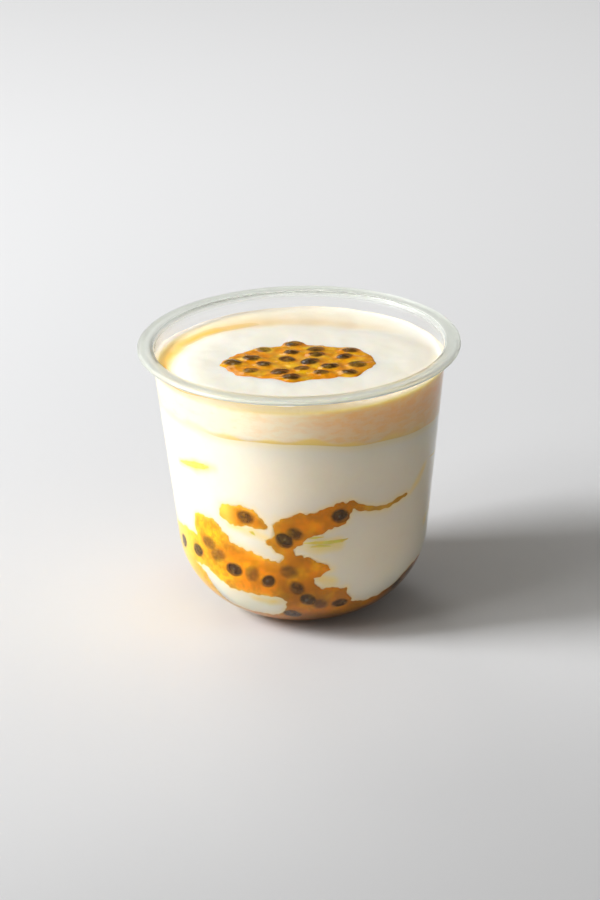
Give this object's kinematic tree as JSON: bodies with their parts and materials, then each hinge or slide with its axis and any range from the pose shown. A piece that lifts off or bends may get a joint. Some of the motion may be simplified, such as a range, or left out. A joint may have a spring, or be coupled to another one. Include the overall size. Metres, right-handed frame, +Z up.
{
  "type": "yogurt pot",
  "caption": "Open clear plastic dessert pot with a round base and flat rim, filled with yogurt, cream and seeded fruit pulp.",
  "frame": {"origin": "centre of the pot's foot, on the surface it stands on", "axes": "+Z up along the pot's axis; -Y is the front, the side whose pulp shows best"},
  "size_m": [0.098, 0.098, 0.085],
  "materials": {
    "clear_plastic": "clear, thin and glossy, with a faint green-grey tint",
    "yogurt": "moist and softly matt, slightly translucent",
    "cream": "moist satin, pale peach, tinted yellow with juice at the edge",
    "pulp": "wet, translucent yellow to orange gel",
    "seed": "wet, smooth, near-black brown"
  },
  "bodies": {
    "root": {"cup": "clear_plastic", "fruit_base": "pulp", "yogurt": "yogurt", "cream_layer": "cream", "fruit_topping": "pulp"}
  },
  "joints": []
}
